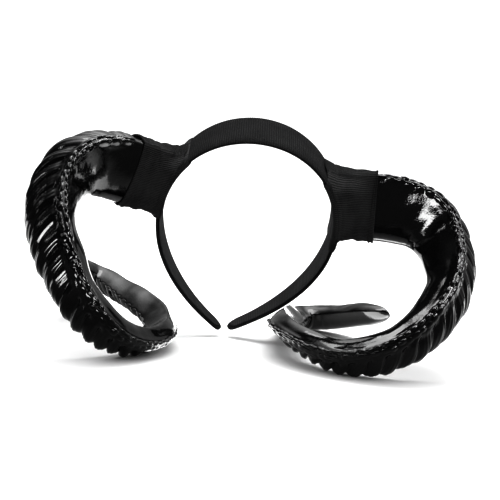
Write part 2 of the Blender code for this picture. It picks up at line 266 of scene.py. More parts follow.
# Finishes
class Graph:
    """The node graph of a material or of the surround, with short calls that add nodes to it."""

    def __init__(self, owner: bpy.types.Material | bpy.types.World, shader: str = "Principled BSDF") -> None:
        """Start from the owner's shader.

        Args:
            owner: The material or the surround.
            shader: The name of its shader's node.
        """
        owner.use_nodes = True
        self.owner = owner
        self.tree = owner.node_tree
        self.shader = self.tree.nodes[shader]

    def fill(self, target: bpy.types.NodeSocket, value: object) -> None:
        """Join a socket to an input, or set the input to a plain value.

        Args:
            target: The input.
            value: A socket, a number, a vector or a colour.
        """
        if isinstance(value, bpy.types.NodeSocket):
            self.tree.links.new(value, target)
        else:
            target.default_value = value

    def node(self, kind: str, inputs: dict[str | int, object], output: str | int = 0,
             **settings: object) -> bpy.types.NodeSocket:
        """Add a node.

        Args:
            kind: The node's type.
            inputs: What its inputs are filled with, by their names or places.
            output: Which output to read.
            settings: The node's settings, which are made before its inputs are filled.

        Returns:
            The output's socket.
        """
        made = self.tree.nodes.new(f"ShaderNode{kind}")
        for name, setting in settings.items():
            setattr(made, name, setting)
        for name, value in inputs.items():
            self.fill(made.inputs[name], value)
        return made.outputs[output]

    def place(self, name: str = "Object") -> bpy.types.NodeSocket:
        """Return a texture coordinate by name."""
        return self.node("TexCoord", {}, name)

    def axis(self, vector: bpy.types.NodeSocket, name: str) -> bpy.types.NodeSocket:
        """Return one axis of a vector by name."""
        return self.node("SeparateXYZ", {0: vector}, name)

    def ray(self, name: str) -> bpy.types.NodeSocket:
        """Return 1 for rays of the named kind and 0 for the rest."""
        return self.node("LightPath", {}, name)

    def math(self, operation: str, *values: object) -> bpy.types.NodeSocket:
        """Return the result of an operation on sockets or numbers."""
        return self.node("Math", dict(enumerate(values)), operation=operation)

    def noise(self, place: bpy.types.NodeSocket, scale: float, detail: float) -> bpy.types.NodeSocket:
        """Return noise with so many patches for each metre and so many finer layers."""
        return self.node("TexNoise", {"Vector": place, "Scale": scale, "Detail": detail}, "Fac")

    def remap(self, value: bpy.types.NodeSocket, low: float, high: float, start: float = 0.3,
              end: float = 0.7, kind: str = "LINEAR") -> bpy.types.NodeSocket:
        """Map a value from one range to another.

        Args:
            value: The value to map.
            low: The result at start.
            high: The result at end.
            start: Where the range begins.
            end: Where the range ends.
            kind: How it goes from one end to the other.

        Returns:
            The mapped value.
        """
        inputs = {"Value": value, "From Min": start, "From Max": end, "To Min": low, "To Max": high}
        return self.node("MapRange", inputs, "Result", interpolation_type=kind)

    def blend(self, share: bpy.types.NodeSocket, first: Triple, second: Triple) -> bpy.types.NodeSocket:
        """Return a blend of two colours, with so much of the second one."""
        inputs = {"Factor": share, "A": (*first, 1.0), "B": (*second, 1.0)}
        return self.node("Mix", inputs, "Result", data_type="RGBA")

    def bump(self, height: bpy.types.NodeSocket, depth: float,
             under: bpy.types.NodeSocket | None = None) -> bpy.types.NodeSocket:
        """Add a bump.

        Args:
            height: The height, from 0 to 1.
            depth: How deep a height of 1 is, in metres.
            under: A normal that this bump lies on.

        Returns:
            The bumped normal.
        """
        inputs = {"Strength": 1.0, "Distance": depth, "Height": height}
        if under is not None:
            inputs["Normal"] = under
        return self.node("Bump", inputs, "Normal")

    def finish(self, **values: object) -> None:
        """Fill the shader's own inputs.

        Args:
            values: What each is filled with, by its name in lower case with underscores.
        """
        names = {socket.name.lower().replace(" ", "_"): socket for socket in self.shader.inputs}
        for name, value in values.items():
            self.fill(names[name], value)


@dataclass(frozen=True)
class HornGloss:
    """Black high-gloss moulded skin, a little uneven, with fine lines along the ribs."""

    dark: Triple = (0.0035, 0.0035, 0.0037)
    worn: Triple = (0.007, 0.007, 0.0072)
    smooth: float = 0.07
    rough: float = 0.15
    plain_until: float = 0.096
    lined_from: float = 0.103
    cloud_scale: float = 85.0
    cloud_depth: float = 0.0004
    line_scale: Triple = (900.0, 22.0, 1.0)
    line_depth: float = 0.00012
    pit_scale: float = 900.0
    pit_depth: float = 0.00005

    def build(self) -> bpy.types.Material:
        """Make the material.

        Returns:
            The material.
        """
        graph = Graph(bpy.data.materials.new("horn_black_gloss"))
        place, grain = graph.place(), graph.place("UV")
        cloudy = graph.noise(place, self.cloud_scale, 4.0)
        lines = graph.node("Mapping", {"Vector": grain, "Scale": self.line_scale}, "Vector")
        lined = graph.remap(graph.axis(grain, "Y"), 0.0, 1.0, self.plain_until, self.lined_from)
        streaks = graph.math("MULTIPLY", graph.noise(lines, 1.0, 2.0), lined)
        pitted = graph.noise(place, self.pit_scale, 2.0)
        normal = graph.bump(cloudy, self.cloud_depth)
        normal = graph.bump(streaks, self.line_depth, normal)
        normal = graph.bump(pitted, self.pit_depth, normal)
        graph.finish(
            metallic=0.0, ior=1.5, specular_ior_level=0.5, coat_weight=0.25, coat_roughness=0.04,
            base_color=graph.blend(graph.remap(cloudy, 0.0, 1.0), self.dark, self.worn),
            roughness=graph.remap(streaks, self.smooth, self.rough),
            normal=normal,
        )
        return graph.owner


@dataclass(frozen=True)
class RibbedCloth:
    """Matte black ribbed cloth whose ribs are in the mesh and whose threads are in the bump; its colour has
    random mottling and painted shade that darkens the rib valleys.
    """

    name: str = "band_cloth"
    # Darkest colour, reached both in the dark random mottle and in the painted shade of the rib valleys.
    dark_mottle_and_valley_shade: Triple = (0.006, 0.006, 0.0063)
    crown: Triple = (0.026, 0.026, 0.0265)
    thread: float = 0.0005
    thread_depth: float = 0.00012
    fuzz_scale: float = 1600.0
    fuzz_depth: float = 0.00022
    fuzz_share: float = 0.45
    patch_scale: float = 55.0
    patch_share: float = 0.55
    sheen: float = 0.02
    sheen_tint: Triple = (0.75, 0.75, 0.78)
    rib_axis: str = "X"
    rib_pitch: float = 0.00158
    shade_range: tuple[float, float] = (0.35, 0.7)

    def build(self) -> bpy.types.Material:
        """Make the material.

        Returns:
            The material.
        """
        graph = Graph(bpy.data.materials.new(self.name))
        place, grain = graph.place(), graph.place("UV")
        along, across = (
            graph.math("SINE", graph.math("MULTIPLY", graph.axis(grain, name), TURN / self.thread))
            for name in ("X", "Y")
        )
        weave = graph.math("MULTIPLY_ADD", graph.math("MULTIPLY", along, across), 0.5, 0.5)
        fuzz = graph.noise(place, self.fuzz_scale, 3.0)
        patches = graph.noise(place, self.patch_scale, 3.0)
        # Painted shade: colour darker in the rib valleys and lighter on the crests, laid over the random
        # mottle.
        ribs = graph.math("MULTIPLY", graph.axis(grain, self.rib_axis), math.pi / self.rib_pitch)
        painted_rib_shade = graph.math("ABSOLUTE", graph.math("SINE", ribs))
        mottle = graph.math(
            "ADD",
            graph.math("MULTIPLY", fuzz, self.fuzz_share),
            graph.math("MULTIPLY", patches, self.patch_share),
        )
        shade = graph.math("MULTIPLY", mottle, graph.remap(painted_rib_shade, 0.5, 1.15, 0.15, 0.9))
        graph.finish(
            roughness=0.88, specular_ior_level=0.12,
            sheen_weight=self.sheen, sheen_roughness=0.45, sheen_tint=(*self.sheen_tint, 1.0),
            base_color=graph.blend(graph.remap(shade, 0.0, 1.0, *self.shade_range), self.dark_mottle_and_valley_shade, self.crown),
            normal=graph.bump(fuzz, self.fuzz_depth, graph.bump(weave, self.thread_depth)),
        )
        return graph.owner


@dataclass(frozen=True)
class StudioFloor:
    """Plain pale matte floor. In reflections it has a painted glow behind the headband and painted shade
    towards the studio's front, and the light it bounces is painted darker.
    """

    tone: Triple = (0.86, 0.86, 0.86)
    # Painted shade: the dark colour the floor shows in reflections in front of the headband.
    painted_shade_tone: Triple = (0.06, 0.06, 0.06)
    painted_shade_range: tuple[float, float] = (-0.11, 0.0)
    # Painted shade: how far the floor is darkened for the light it bounces.
    painted_bounce_shade: float = 0.6
    # Painted glow: how strongly the floor behind the headband shines in reflections, though it is no lamp.
    painted_back_glow: float = 1.4
    painted_glow_range: tuple[float, float] = (0.06, 0.16)

    def build(self) -> bpy.types.Material:
        """Make the material.

        Returns:
            The material.
        """
        graph = Graph(bpy.data.materials.new("studio_floor"))
        back = graph.axis(graph.place(), "Y")
        glossy, matte = graph.ray("Is Glossy Ray"), graph.ray("Is Diffuse Ray")
        # Painted shade: reflections see the floor dark towards the studio's front.
        front = graph.math("MULTIPLY", graph.remap(back, 1.0, 0.0, *self.painted_shade_range), glossy)
        # Painted shade: bounced light sees the floor darker than the camera does.
        shade = graph.math("MAXIMUM", front, graph.math("MULTIPLY", matte, self.painted_bounce_shade))
        # Painted glow: reflections see the floor behind the headband shine.
        glow = graph.math("MULTIPLY", graph.remap(back, 0.0, 1.0, *self.painted_glow_range), glossy)
        graph.finish(
            roughness=0.9, specular_ior_level=0.1, emission_color=(1.0, 1.0, 1.0, 1.0),
            base_color=graph.blend(shade, self.tone, self.painted_shade_tone),
            emission_strength=graph.math("MULTIPLY", glow, self.painted_back_glow),
        )
        return graph.owner


# The hoop
class HoopRow(NamedTuple):
    """How the hoop curves on each side at a run from its crown."""

    run: float
    left: float
    right: float


@dataclass
class Hoop:
    """The hoop's middle surface and how wide the band is along it."""

    left_length: float = 0.2245
    right_length: float = 0.218
    top: float = 0.1042
    crown_width: float = 0.0459
    end_width: float = 0.0125
    taper_length: float = 0.218
    taper_power: float = 0.65
    bend: tuple[HoopRow, ...] = (
        HoopRow(0.0000, 0.0622, 0.0622),
        HoopRow(0.0436, 0.0606, 0.0606),
        HoopRow(0.0872, 0.0752, 0.0752),
        HoopRow(0.1308, 0.0936, 0.0936),
        HoopRow(0.1744, 0.1350, 0.1500),
        HoopRow(0.2245, 0.1950, 0.2567),
    )
    runs: np.ndarray = field(init=False)
    tables: dict[float, np.ndarray] = field(init=False)

    def __post_init__(self) -> None:
        """Work out each side's middle line as x, z and angle along the run."""
        self.runs = np.linspace(0.0, self.bend[-1].run, 1001)
        step = self.runs[1]
        places, left, right = (list(column) for column in zip(*self.bend))
        self.tables = {}
        for side, radii in ((-1.0, left), (1.0, right)):
            curve = np.interp(self.runs, places, [1.0 / radius for radius in radii])
            angle = running_sum(curve, step)
            x = running_sum(np.cos(angle), step)
            z = self.top + running_sum(-np.sin(angle), step)
            self.tables[side] = np.stack([x, z, angle])

    def points(self, run: np.ndarray, across: np.ndarray, lift: np.ndarray) -> np.ndarray:
        """Return points on or off the hoop.

        Args:
            run: The distance from the crown, negative on the left.
            across: How far back from the hoop's middle line.
            lift: How far outside the middle surface.

        Returns:
            The points in the wearing frame.
        """
        run, across, lift = np.broadcast_arrays(run, across, lift)
        side, x, z, angle = self.read(run)
        return np.stack([side * (x + lift * np.sin(angle)), across, z + lift * np.cos(angle)], axis=-1)

    def read(self, run: np.ndarray) -> tuple[np.ndarray, np.ndarray, np.ndarray, np.ndarray]:
        """Read the middle line at some runs.

        Args:
            run: The distances from the crown, negative on the left.

        Returns:
            The side, as -1 or 1, then x, z and the angle.
        """
        left, right = (
            [np.interp(np.abs(run), self.runs, row) for row in self.tables[side]] for side in (-1.0, 1.0)
        )
        side = np.where(run < 0.0, -1.0, 1.0)
        x, z, angle = (np.where(run < 0.0, one, other) for one, other in zip(left, right))
        return side, x, z, angle

    def limb_length(self, run: np.ndarray) -> np.ndarray:
        """Return the length of the side that each run is on."""
        return np.where(run < 0.0, self.left_length, self.right_length)

    def width(self, run: np.ndarray) -> np.ndarray:
        """Return the band's width at some runs.

        Args:
            run: The distances from the crown, negative on the left.

        Returns:
            The widths.
        """
        share = np.minimum(np.abs(run) / self.taper_length, 1.0)
        taper = (0.5 + 0.5 * np.cos(math.pi * share)) ** self.taper_power
        return self.end_width + (self.crown_width - self.end_width) * taper


@dataclass
class Headband:
    """The cloth-covered hoop and the lining on its inner face."""

    hoop: Hoop
    cloth: bpy.types.Material
    lining: bpy.types.Material
    rib_pitch: float = 0.00158
    rib_height: float = 0.00016
    rib_unevenness: float = 0.35
    rib_wave: float = 0.021
    steps_per_rib: int = 6
    cloth_columns: int = 40
    cloth_squareness: float = 2.6
    cloth_girth: float = 0.094
    edge_dip: float = 0.00035
    inside: float = 0.0006
    outside: float = 0.0016
    end_round: float = 0.006
    lining_rows: int = 601
    lining_columns: int = 32
    lining_squareness: float = 2.4
    lining_girth: float = 0.09
    lining_gap: float = 0.0001
    lining_margin: float = 0.0014
    lining_thickness: float = 0.0008
    lining_end_cut: float = 0.003

    def end_scale(self, run: np.ndarray, cut: float) -> np.ndarray:
        """Return how much of its width a strip keeps near its rounded ends.

        Args:
            run: The distance from the crown, negative on the left.
            cut: How much shorter than the hoop the strip is at each end.

        Returns:
            Shares from nearly 0 to 1.
        """
        length = self.hoop.limb_length(run) - cut
        past = np.clip((np.abs(run) - (length - self.end_round)) / self.end_round, 0.0, 1.0)
        return np.sqrt(np.maximum(0.03, 1.0 - past ** 2))

    def strip(self, runs: np.ndarray, half: np.ndarray, low: float, high: float,
              outline: tuple[np.ndarray, np.ndarray]) -> np.ndarray:
        """Return the rows of a strip along the hoop, closed at both ends.

        Args:
            runs: The run of each row.
            half: Half the strip's width at each row.
            low: The lift of its inner face.
            high: The lift of its outer face.
            outline: The shares across the strip and through it, as strip_outline gives them.

        Returns:
            Rows of points, with a pole at each end.
        """
        across, through = outline
        mid, rise = 0.5 * (low + high), 0.5 * (high - low)
        rows = self.hoop.points(runs[:, None], half[:, None] * across[None, :], mid + rise * through[None, :])
        poles = self.hoop.points(runs[[0, -1]], np.zeros(2), np.full(2, mid))
        first, last = (np.repeat(pole[None, None], len(across), axis=1) for pole in poles)
        return np.concatenate([first, rows, last])

    def build_band(self) -> bpy.types.Object:
        """Build the ribbed band, its ribs running from front to back.

        Returns:
            The finished piece.
        """
        hoop = self.hoop
        length = hoop.left_length + hoop.right_length
        ribs = int(length / self.rib_pitch)
        runs = np.linspace(-hoop.left_length, hoop.right_length, ribs * self.steps_per_rib + 1)
        turn = np.linspace(0.0, TURN, self.cloth_columns + 1)
        half = 0.5 * hoop.width(runs) * self.end_scale(runs, 0.0)
        rows = self.strip(runs, half, -self.inside, self.outside, strip_outline(turn, self.cloth_squareness))
        uneven = 1.0 + self.rib_unevenness * ripple(3, runs / self.rib_wave)
        wave = np.abs(np.sin(math.pi * (runs + hoop.left_length) * ribs / length)) ** RIB_ROUNDNESS
        rib = self.rib_height * uneven * wave
        outer = eased(np.sin(turn) * 1.2 + 0.75)
        side, _, _, angle = hoop.read(runs)
        normal = np.stack([side * np.sin(angle), 0.0 * angle, np.cos(angle)], axis=-1)
        dip = self.edge_dip * np.cos(turn) ** 2 * (np.sin(turn) > 0.0)
        lift = (rib - self.rib_height)[:, None] * outer[None, :] - dip[None, :]
        rows[1:-1] += normal[:, None, :] * lift[..., None]
        along = np.concatenate([runs[:1], runs, runs[-1:]]) + hoop.left_length
        piece = loft_piece("headband_cloth", rows, (along, turn / TURN * self.cloth_girth))
        dress(piece, self.cloth, "band_cloth", "headband")
        return piece

    def build_lining(self) -> bpy.types.Object:
        """Build the lining strip on the inner face.

        Returns:
            The finished piece.
        """
        hoop, cut = self.hoop, self.lining_end_cut
        runs = np.linspace(cut - hoop.left_length, hoop.right_length - cut, self.lining_rows)
        turn = np.linspace(0.0, TURN, self.lining_columns + 1)
        half = (0.5 * hoop.width(runs) - self.lining_margin) * self.end_scale(runs, cut)
        high = -self.inside - self.lining_gap
        outline = strip_outline(turn, self.lining_squareness)
        rows = self.strip(runs, half, high - self.lining_thickness, high, outline)
        along = np.concatenate([runs[:1], runs, runs[-1:]]) + hoop.left_length
        piece = loft_piece("band_lining_strip", rows, (along, turn / TURN * self.lining_girth))
        dress(piece, self.lining, "lining_cloth", "band_lining")
        return piece


# The horn
class HornRow(NamedTuple):
    """A station on the horn's middle line: its place, its section's size and its twist."""

    across: float
    back: float
    up: float
    width: float
    depth: float
    turn: float


class Knob(NamedTuple):
    """One small knob on the rope of knobs along the horn's edge."""

    run: float
    across: float
    length: float
    width: float
    height: float


@dataclass
class HornForm:
    """The horn's middle line, section and surface, before it is put in its wrap."""

    stations: tuple[HornRow, ...] = (
        HornRow(0.086, 0.011, 0.062, 0.0590, 0.0465, 0),
        HornRow(0.123, 0.003, 0.064, 0.0545, 0.0445, 0),
        HornRow(0.142, -0.021, 0.053, 0.0440, 0.0420, -2),
        HornRow(0.140, -0.060, 0.041, 0.0320, 0.0385, -8),
        HornRow(0.115, -0.093, 0.019, 0.0215, 0.0350, -16),
        HornRow(0.074, -0.094, -0.003, 0.0160, 0.0310, -27),
        HornRow(0.042, -0.051, -0.018, 0.0160, 0.0270, -40),
        HornRow(0.0514, 0.010, -0.0470, 0.0200, 0.0230, -52),
        HornRow(0.066, 0.043, -0.065, 0.0245, 0.0190, -62),
        HornRow(0.092, 0.040, -0.055, 0.0250, 0.0160, -67),
        HornRow(0.122, 0.002, -0.018, 0.0200, 0.0135, -67),
    )
    samples: int = 900
    stretch_points: int = 400
    outline_points: int = 1200
    knob_edge: tuple[float, float] = (0.49, 0.23)
    body_front_edge: tuple[float, float] = (-0.25, 0.368)
    body_inner_edge: tuple[float, float] = (-0.385, 0.25)
    curl_front_edge: tuple[float, float] = (-0.36, 0.35)
    curl_inner_edge: tuple[float, float] = (-0.395, 0.27)
    back_edge: tuple[float, float] = (-0.42, -0.45)
    curl_start: float = 0.15
    curl_blend: float = 0.06
    front_crown: float = 0.05
    inner_crown: float = 0.04
    rib_side_bulge: float = 0.31
    corner_bulge: float = 0.012
    corner_round: float = 0.018
    tip_round_share: float = 0.06
    rib_pitch_root: float = 0.0125
    rib_pitch_tip: float = 0.0080
    rib_slant_share: float = 0.28
    rib_fade: float = 0.030
    line: dict[str, np.ndarray] = field(init=False)
    length: float = field(init=False)

    def __post_init__(self) -> None:
        """Work out the middle line and its frames."""
        rows = natural_spline(np.array(self.stations, dtype=float), self.samples)
        points = rows[:, :3]
        tangents = unit(np.gradient(points, axis=0))
        normals = np.zeros_like(points)
        start = np.array([0.0, 0.0, 1.0])
        normals[0] = unit(start - (start @ tangents[0]) * tangents[0])
        for index in range(len(points) - 1):
            step = points[index + 1] - points[index]
            normal = normals[index] - 2.0 * (step @ normals[index]) / (step @ step) * step
            tangent = tangents[index] - 2.0 * (step @ tangents[index]) / (step @ step) * step
            turn = tangents[index + 1] - tangent
            if turn @ turn > 1e-12:
                normal = normal - 2.0 * (turn @ normal) / (turn @ turn) * turn
            normals[index + 1] = normal
        fronts = np.cross(tangents, normals)
        twist = np.radians(rows[:, 5])[:, None]
        run = path_length(points)
        self.length = float(run[-1])
        self.line = {
            "run": run,
            "point": points,
            "tangent": tangents,
            "out": normals * np.cos(twist) + fronts * np.sin(twist),
            "front": fronts * np.cos(twist) - normals * np.sin(twist),
            "width": rows[:, 3],
            "depth": rows[:, 4],
        }

    def read(self, name: str, run: np.ndarray) -> np.ndarray:
        """Read one of the line's values at some runs.

        Args:
            name: Which value.
            run: The distances along the line. Before the start, a point goes on straight back.

        Returns:
            A number or a vector for each run.
        """
        values = self.line[name]
        if values.ndim == 1:
            return np.interp(run, self.line["run"], values)
        read = np.stack([np.interp(run, self.line["run"], values[:, axis]) for axis in range(3)], axis=-1)
        if name == "point":
            read = read + np.minimum(run, 0.0)[..., None] * self.line["tangent"][0]
        return read

    def outline(self, curled: bool = False) -> tuple[np.ndarray, np.ndarray, np.ndarray, np.ndarray]:
        """Return the section's outline, finely spaced, from the knob edge round the front.

        Args:
            curled: Whether it is the sharper section of the curl and not the body's.

        Returns:
            The points as shares of width and depth, how much of the ribs each takes, how much of
            their slant, and the distance round the section as a share of the whole.
        """
        edges = (self.body_front_edge, self.body_inner_edge)
        if curled:
            edges = (self.curl_front_edge, self.curl_inner_edge)
        knob, front, inner, back = (np.array(edge) for edge in (self.knob_edge, *edges, self.back_edge))
        share = np.linspace(0.0, 1.0, self.stretch_points, endpoint=False)[:, None]
        arch = 4.0 * share * (1.0 - share)
        chord = knob - back
        outward = np.array([chord[1], -chord[0]]) / np.linalg.norm(chord)
        corners = np.concatenate([
            knob + (front - knob) * share + np.array([0.0, self.front_crown]) * arch,
            front + (inner - front) * share[::4] + np.array([-1.0, 1.0]) * self.corner_bulge * arch[::4],
            inner + (back - inner) * share + np.array([-self.inner_crown, 0.0]) * arch,
            back + chord * share + outward * self.rib_side_bulge * arch,
        ])
        flat = share[:, 0]
        plain = 0.0 * flat
        ribbed = np.concatenate([plain, plain[::4], plain, plain + 1.0])
        slanted = np.concatenate([plain, plain[::4], flat, 1.0 - flat])
        closed = np.concatenate([corners, corners[:1]])
        around = path_length(closed)
        even = np.linspace(0.0, around[-1], self.outline_points + 1)[:-1]
        columns = [np.interp(even, around, closed[:, axis]) for axis in range(2)]
        columns += [np.interp(even, around[:-1], values) for values in (ribbed, slanted)]
        reach = int(self.corner_round * self.outline_points)
        window = np.hanning(2 * reach + 3)[1:-1]
        window /= window.sum()
        smooth = [self.wrapped_filter(column, window) for column in columns]
        return np.stack(smooth[:2], axis=-1), smooth[2], smooth[3], even / around[-1]

    def curl_share(self, run: np.ndarray) -> np.ndarray:
        """Return how much of the curl's section the horn has at some runs."""
        return eased((run - self.curl_start) / self.curl_blend)

    @staticmethod
    def wrapped_filter(values: np.ndarray, window: np.ndarray) -> np.ndarray:
        """Smooth values that go round in a loop.

        Args:
            values: One value for each place round the loop.
            window: The weights, an odd number of them.

        Returns:
            The smoothed values.
        """
        pad = len(window) // 2
        return np.convolve(np.concatenate([values[-pad:], values, values[:pad]]), window, "valid")

    def slant_reach(self, run: np.ndarray) -> np.ndarray:
        """Return how far along the horn a rib's far end leads at a run."""
        fade = eased(run / (2.0 * self.rib_fade)) * eased((self.length - run) / (3.0 * self.rib_fade))
        return self.rib_slant_share * (self.read("width", run) + self.read("depth", run)) * fade

    def rib_turns(self, run: np.ndarray) -> np.ndarray:
        """Return how many ribs have passed at a run."""
        slope = (self.rib_pitch_tip - self.rib_pitch_root) / self.length
        return np.log1p(slope * np.maximum(run, 0.0) / self.rib_pitch_root) / slope

    def surface(self, section: np.ndarray, place: np.ndarray, grow: np.ndarray) -> np.ndarray:
        """Return points of the horn's surface.

        Args:
            section: The outline's points as shares of width and depth.
            place: The run of each point.
            grow: How far each point is moved outward.

        Returns:
            The points in the wearing frame.
        """
        past = np.clip(place / self.length - 1.0 + self.tip_round_share, 0.0, None) / self.tip_round_share
        blunt = np.sqrt(np.maximum(0.0, 1.0 - past ** 2))[..., None]
        offset = (
            (section[..., 0] * self.read("width", place))[..., None] * self.read("out", place)
            + (section[..., 1] * self.read("depth", place))[..., None] * self.read("front", place)
        ) * blunt
        size = np.linalg.norm(offset, axis=-1, keepdims=True)
        scale = (size + grow[..., None] * np.sqrt(blunt)) / np.maximum(size, 1e-9)
        return self.read("point", place) + offset * scale


class SleeveRow(NamedTuple):
    """How a wrap sits: its collar's stretch along the hoop, its foot and its reach over the horn."""

    start: float
    end: float
    foot: float
    half_height: float
    back: float
    reach_top: float
    reach_bottom: float


@dataclass
class HornSeat:
    """Where one horn sits: the right one as designed, the left one mirrored and moved a little."""

    side: Side
    sleeve: SleeveRow
    pivot: Triple = (0.0858, -0.0022, 0.0629)
    turn: Triple = (6.1, -11.3, -14.3)
    shift: Triple = (-0.0052, -0.0120, -0.0093)

    def place(self, points: np.ndarray) -> np.ndarray:
        """Move points of the horn as designed to where this horn sits, before mirroring.

        Args:
            points: An array whose last axis is X, Y and Z.

        Returns:
            The moved points.
        """
        if self.side is Side.RIGHT:
            return points
        axis = Vector([math.radians(angle) for angle in self.turn])
        turn = np.array(Matrix.Rotation(axis.length, 3, axis.normalized()))
        pivot = np.array(self.pivot)
        return (points - pivot) @ turn.T + pivot + np.array(self.shift)

    def mirror(self, points: np.ndarray) -> np.ndarray:
        """Mirror points across the head for the left side.

        Args:
            points: An array whose last axis is X, Y and Z.

        Returns:
            The points on this horn's own side.
        """
        return points * np.array([1.0 if self.side is Side.RIGHT else -1.0, 1.0, 1.0])


class Growth(NamedTuple):
    """A number that goes smoothly from its first value to a larger one over a stretch of the horn."""

    first: float
    gain: float
    start: float
    length: float

    def at(self, run: np.ndarray) -> np.ndarray:
        """Return the number at some runs."""
        return self.first + self.gain * eased((run - self.start) / self.length)


class DentRow(NamedTuple):
    """One layer of dents in the smooth faces: its seed, height, length and number round the horn."""

    seed: int
    height: float
    wave: float
    turns: float


@dataclass
class Horn:
    """One curled horn with ribs, a rope of knobs and smooth front and inner faces."""

    form: HornForm
    seat: HornSeat
    gloss: bpy.types.Material
    seed: int
    spacing: float = 0.00085
    last_gap: float = 0.0004
    column_count: int = 125
    rope_density: float = 4.2
    rope_share: float = 0.055
    rib_side_density: float = 0.5
    rib_side_from: float = 0.62
    girth_share: float = 1.581
    grain_girth: float = 0.16
    buried: float = 0.008
    root_shoulder: float = 0.86
    rib_depth: float = 0.0029
    rib_deepening: Growth = Growth(1.0, 0.6, 0.12, 0.2)
    rib_sharpness: Growth = Growth(0.5, 0.7, 0.10, 0.2)
    rib_unevenness: tuple[float, float] = (0.75, 1.2)
    rib_end_share: float = 0.86
    rib_end_fade: float = 0.07
    rib_edge: float = 0.0045
    rib_edge_fade: float = 0.004
    swell_height: float = 0.0007
    line_height: float = 0.00024
    lines_per_rib: float = 4.0
    line_drift: float = 0.25
    rope_width: float = 0.0062
    ridge_height: float = 0.0008
    ridge_fade: float = 0.008
    dents: tuple[DentRow, ...] = (DentRow(2, 0.0005, 0.034, 2.4), DentRow(3, 0.00007, 0.012, 7.0))
    knob_rows: tuple[float, ...] = (-0.0030, 0.0022)
    knob_start: float = 0.002
    knob_end_share: float = 0.9
    knob_spacing: float = 0.0062
    knob_steps: tuple[float, float] = (0.8, 1.22)
    knob_taper: float = 0.42
    knob_sway: float = 0.0009
    knob_lengths: tuple[float, float] = (0.0025, 0.0044)
    knob_widths: tuple[float, float] = (0.0016, 0.0027)
    knob_heights: tuple[float, float] = (0.0008, 0.0023)
    knob_roundness: float = 0.75
    knob_clearance: float = 0.001

    def columns(self) -> np.ndarray:
        """Space out the places round the section, closest at the rope of knobs.

        Returns:
            The places, as shares of the way round.
        """
        share = np.linspace(0.0, 1.0, 1201)
        edge = np.minimum(share, 1.0 - share)
        rope = self.rope_density * np.exp(-(edge / self.rope_share) ** 2)
        density = 1.0 + rope + self.rib_side_density * (share > self.rib_side_from)
        total = running_sum(density, 1.0)
        return np.interp(np.linspace(0.0, total[-1], self.column_count), total, share)

    def knobs(self) -> list[Knob]:
        """Lay out the knobs in uneven rows along the edge.

        Returns:
            The knobs that the wrap leaves bare.
        """
        rng = random.Random(self.seed)
        made: list[Knob] = []
        for index, across in enumerate(self.knob_rows):
            run = self.knob_start + index * 0.5 * self.knob_spacing
            while run < self.knob_end_share * self.form.length:
                size = 1.0 - self.knob_taper * run / self.form.length
                made.append(Knob(
                    run,
                    (across + rng.uniform(-self.knob_sway, self.knob_sway)) * size,
                    rng.uniform(*self.knob_lengths) * size,
                    rng.uniform(*self.knob_widths) * size,
                    rng.uniform(*self.knob_heights) * size,
                ))
                run += self.knob_spacing * size * rng.uniform(*self.knob_steps)
        bare_from = self.seat.sleeve.reach_top + self.knob_clearance
        return [knob for knob in made if knob.run - knob.length > bare_from]

    def knob_height(self, place: np.ndarray, across: np.ndarray) -> np.ndarray:
        """Return how far the knobs stand out.

        Args:
            place: The run of each point.
            across: How far each point is from the edge, round the section.

        Returns:
            The heights.
        """
        height = np.zeros(place.shape)
        for knob in self.knobs():
            near = np.flatnonzero(np.abs(place[:, 0] - knob.run) < 0.02)
            along = (place[near] - knob.run) / knob.length
            aside = (across[near] - knob.across) / knob.width
            dome = np.clip(1.0 - (along ** 2 + aside ** 2), 0.0, None) ** self.knob_roundness
            height[near] = np.maximum(height[near], knob.height * dome)
        return height

    def relief(self, run: np.ndarray, place: np.ndarray, around: np.ndarray, ribbed: np.ndarray,
               girth: np.ndarray) -> np.ndarray:
        """Return how far the surface stands off the plain horn.

        Args:
            run: The run of each row, which the ribs follow.
            place: The run of each point.
            around: The place of each column round the section, as a share.
            ribbed: How much of the ribs each column takes.
            girth: The distance round the section at each row.

        Returns:
            The heights, negative in the grooves.
        """
        turns = self.form.rib_turns(run)
        across = (np.where(around > 0.5, around - 1.0, around))[None, :] * girth[:, None]
        fade = eased((self.rib_end_share * self.form.length - run) / self.rib_end_fade)[:, None]
        side = eased((-across - self.rib_edge) / self.rib_edge_fade) * ribbed[None, :]
        lobe = (np.abs(np.sin(math.pi * turns)) ** self.rib_sharpness.at(run))[:, None]
        number = np.floor(turns).astype(int)
        rng = np.random.default_rng(self.seed)
        jitter = rng.uniform(*self.rib_unevenness, int(number.max()) + 2)[number]
        depth = self.rib_depth * self.rib_deepening.at(run)[:, None]
        ribs = -depth * fade * (1.0 - lobe) * jitter[:, None] * side
        uneven = ripple(self.seed + 5, turns[:, None] * 0.9, around[None, :] * 5.0)
        swell = self.swell_height * fade * side * lobe * uneven
        drift = self.line_drift * ripple(self.seed + 9, turns[:, None], around[None, :] * 4.0)
        lines = self.line_height * fade * side * np.sin(TURN * (turns[:, None] * self.lines_per_rib + drift))
        rope = np.exp(-(across / self.rope_width) ** 4)
        bare_run = (run - self.seat.sleeve.reach_top) / self.ridge_fade
        ridge = self.ridge_height * rope * eased(bare_run)[:, None]
        knobs = self.knob_height(place, across) * fade * rope ** 0.5
        bare = (1.0 - rope) * (1.0 - side)
        dents = sum(
            row.height * bare * ripple(self.seed + row.seed, place / row.wave, around[None, :] * row.turns)
            for row in self.dents
        )
        return ribs + swell + lines + ridge + knobs + dents

